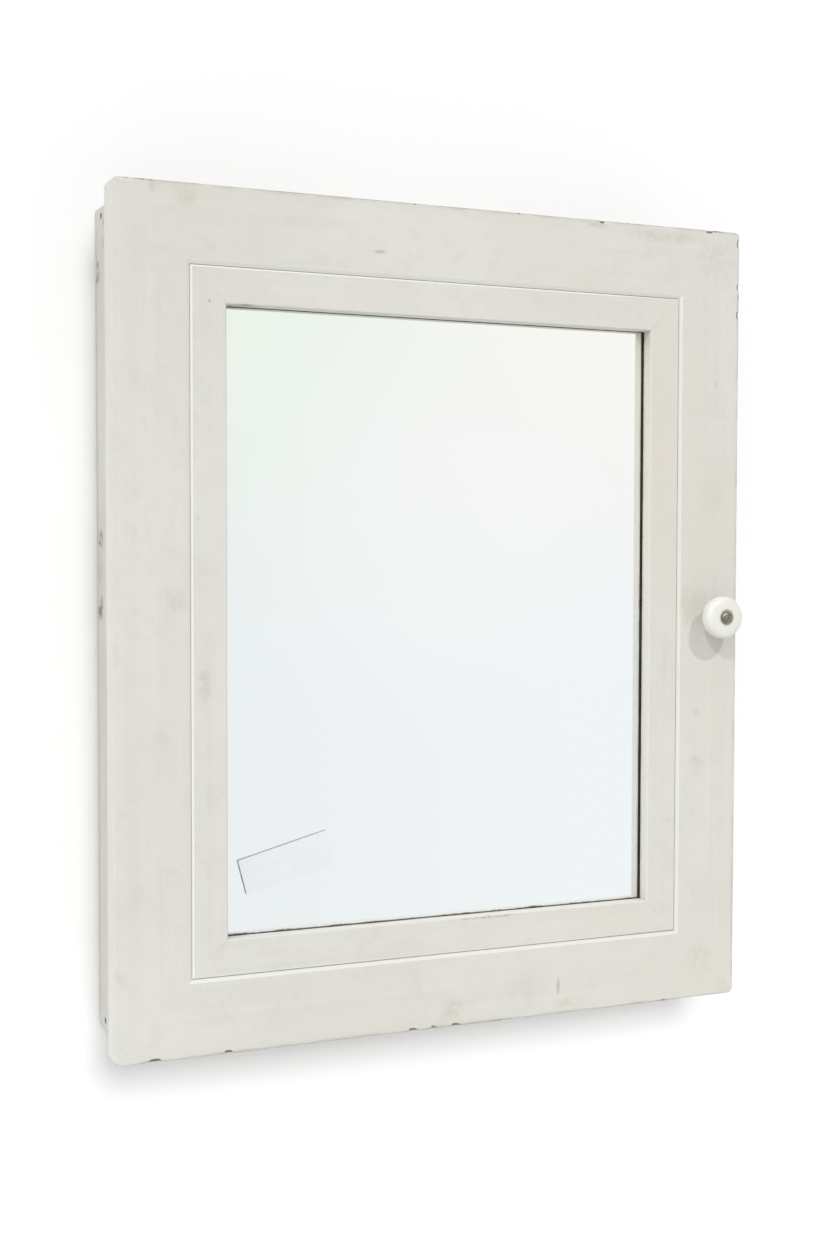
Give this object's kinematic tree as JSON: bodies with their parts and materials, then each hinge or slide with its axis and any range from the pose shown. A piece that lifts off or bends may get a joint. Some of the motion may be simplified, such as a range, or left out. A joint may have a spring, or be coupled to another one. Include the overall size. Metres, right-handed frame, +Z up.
{
  "type": "medicine cabinet with mirror",
  "caption": "Shallow wall-hung wooden cabinet, painted white, with a hinged mirrored door, a porcelain knob, fixed shelves inside and a magnetic catch.",
  "frame": {"origin": "middle of the case's back face, on the wall", "axes": "+X to the right as seen from the front, +Y into the wall, +Z up"},
  "size_m": [0.508, 0.1087, 0.61],
  "materials": {
    "door_paint": "old white eggshell paint over wood, hand brushed, rubbed and chipped at the edges",
    "case_paint": "older, duller white paint over wood, grubby and chipped",
    "bare_wood": "unpainted pine",
    "hardboard": "brown hardboard",
    "silvered_glass": "back-silvered plate glass, a little tarnished at its edges",
    "porcelain": "white glazed porcelain",
    "aged_bronze": "dark aged bronze",
    "hinge_brass": "dull brass",
    "zinc_steel": "zinc-plated steel",
    "old_iron": "oxidised iron",
    "brown_plastic": "dark brown moulded plastic",
    "label_paper": "blank white paper"
  },
  "bodies": {
    "case": {"side_left": "case_paint", "side_right": "case_paint", "top_board": "case_paint", "bottom_board": "case_paint", "back_panel": "case_paint", "hanging_rail": "case_paint", "shelf_1": "case_paint", "shelf_2": "case_paint", "nail_left_top_front": "old_iron", "nail_left_top_rear": "old_iron", "nail_left_bottom_front": "old_iron", "nail_left_bottom_rear": "old_iron", "nail_right_top_front": "old_iron", "nail_right_top_rear": "old_iron", "nail_right_bottom_front": "old_iron", "nail_right_bottom_rear": "old_iron", "hinge_upper_case_leaf": "hinge_brass", "hinge_upper_pin": "hinge_brass", "hinge_upper_case_screw_bottom": "hinge_brass", "hinge_upper_case_screw_middle": "hinge_brass", "hinge_upper_case_screw_top": "hinge_brass", "hinge_lower_case_leaf": "hinge_brass", "hinge_lower_pin": "hinge_brass", "hinge_lower_case_screw_bottom": "hinge_brass", "hinge_lower_case_screw_middle": "hinge_brass", "hinge_lower_case_screw_top": "hinge_brass", "catch_case": "brown_plastic", "catch_magnet": "zinc_steel", "catch_screw_upper": "zinc_steel", "catch_screw_lower": "zinc_steel"},
    "door": {"outer_frame_bottom": "door_paint", "outer_frame_left": "door_paint", "outer_frame_top": "door_paint", "outer_frame_right": "door_paint", "inner_frame_bottom": "door_paint", "inner_frame_left": "door_paint", "inner_frame_top": "door_paint", "inner_frame_right": "door_paint", "mirror_bead_bottom": "bare_wood", "mirror_bead_left": "bare_wood", "mirror_bead_top": "bare_wood", "mirror_bead_right": "bare_wood", "mirror_plate": "silvered_glass", "mirror_backing": "hardboard", "price_label": "label_paper", "knob": "porcelain", "knob_bolt": "aged_bronze", "knob_washer": "hinge_brass", "knob_nut": "hinge_brass", "hinge_upper_door_leaf": "hinge_brass", "hinge_upper_door_screw_bottom": "hinge_brass", "hinge_upper_door_screw_middle": "hinge_brass", "hinge_upper_door_screw_top": "hinge_brass", "hinge_lower_door_leaf": "hinge_brass", "hinge_lower_door_screw_bottom": "hinge_brass", "hinge_lower_door_screw_middle": "hinge_brass", "hinge_lower_door_screw_top": "hinge_brass", "strike_plate": "zinc_steel", "strike_screw": "zinc_steel"}
  },
  "joints": [
    {"name": "door_hinge", "type": "hinge", "parent": "case", "child": "door", "pos_m": [-0.2481, -0.06275, 0], "axis": [0, 0, -1], "range_deg": [0, 115]}
  ]
}
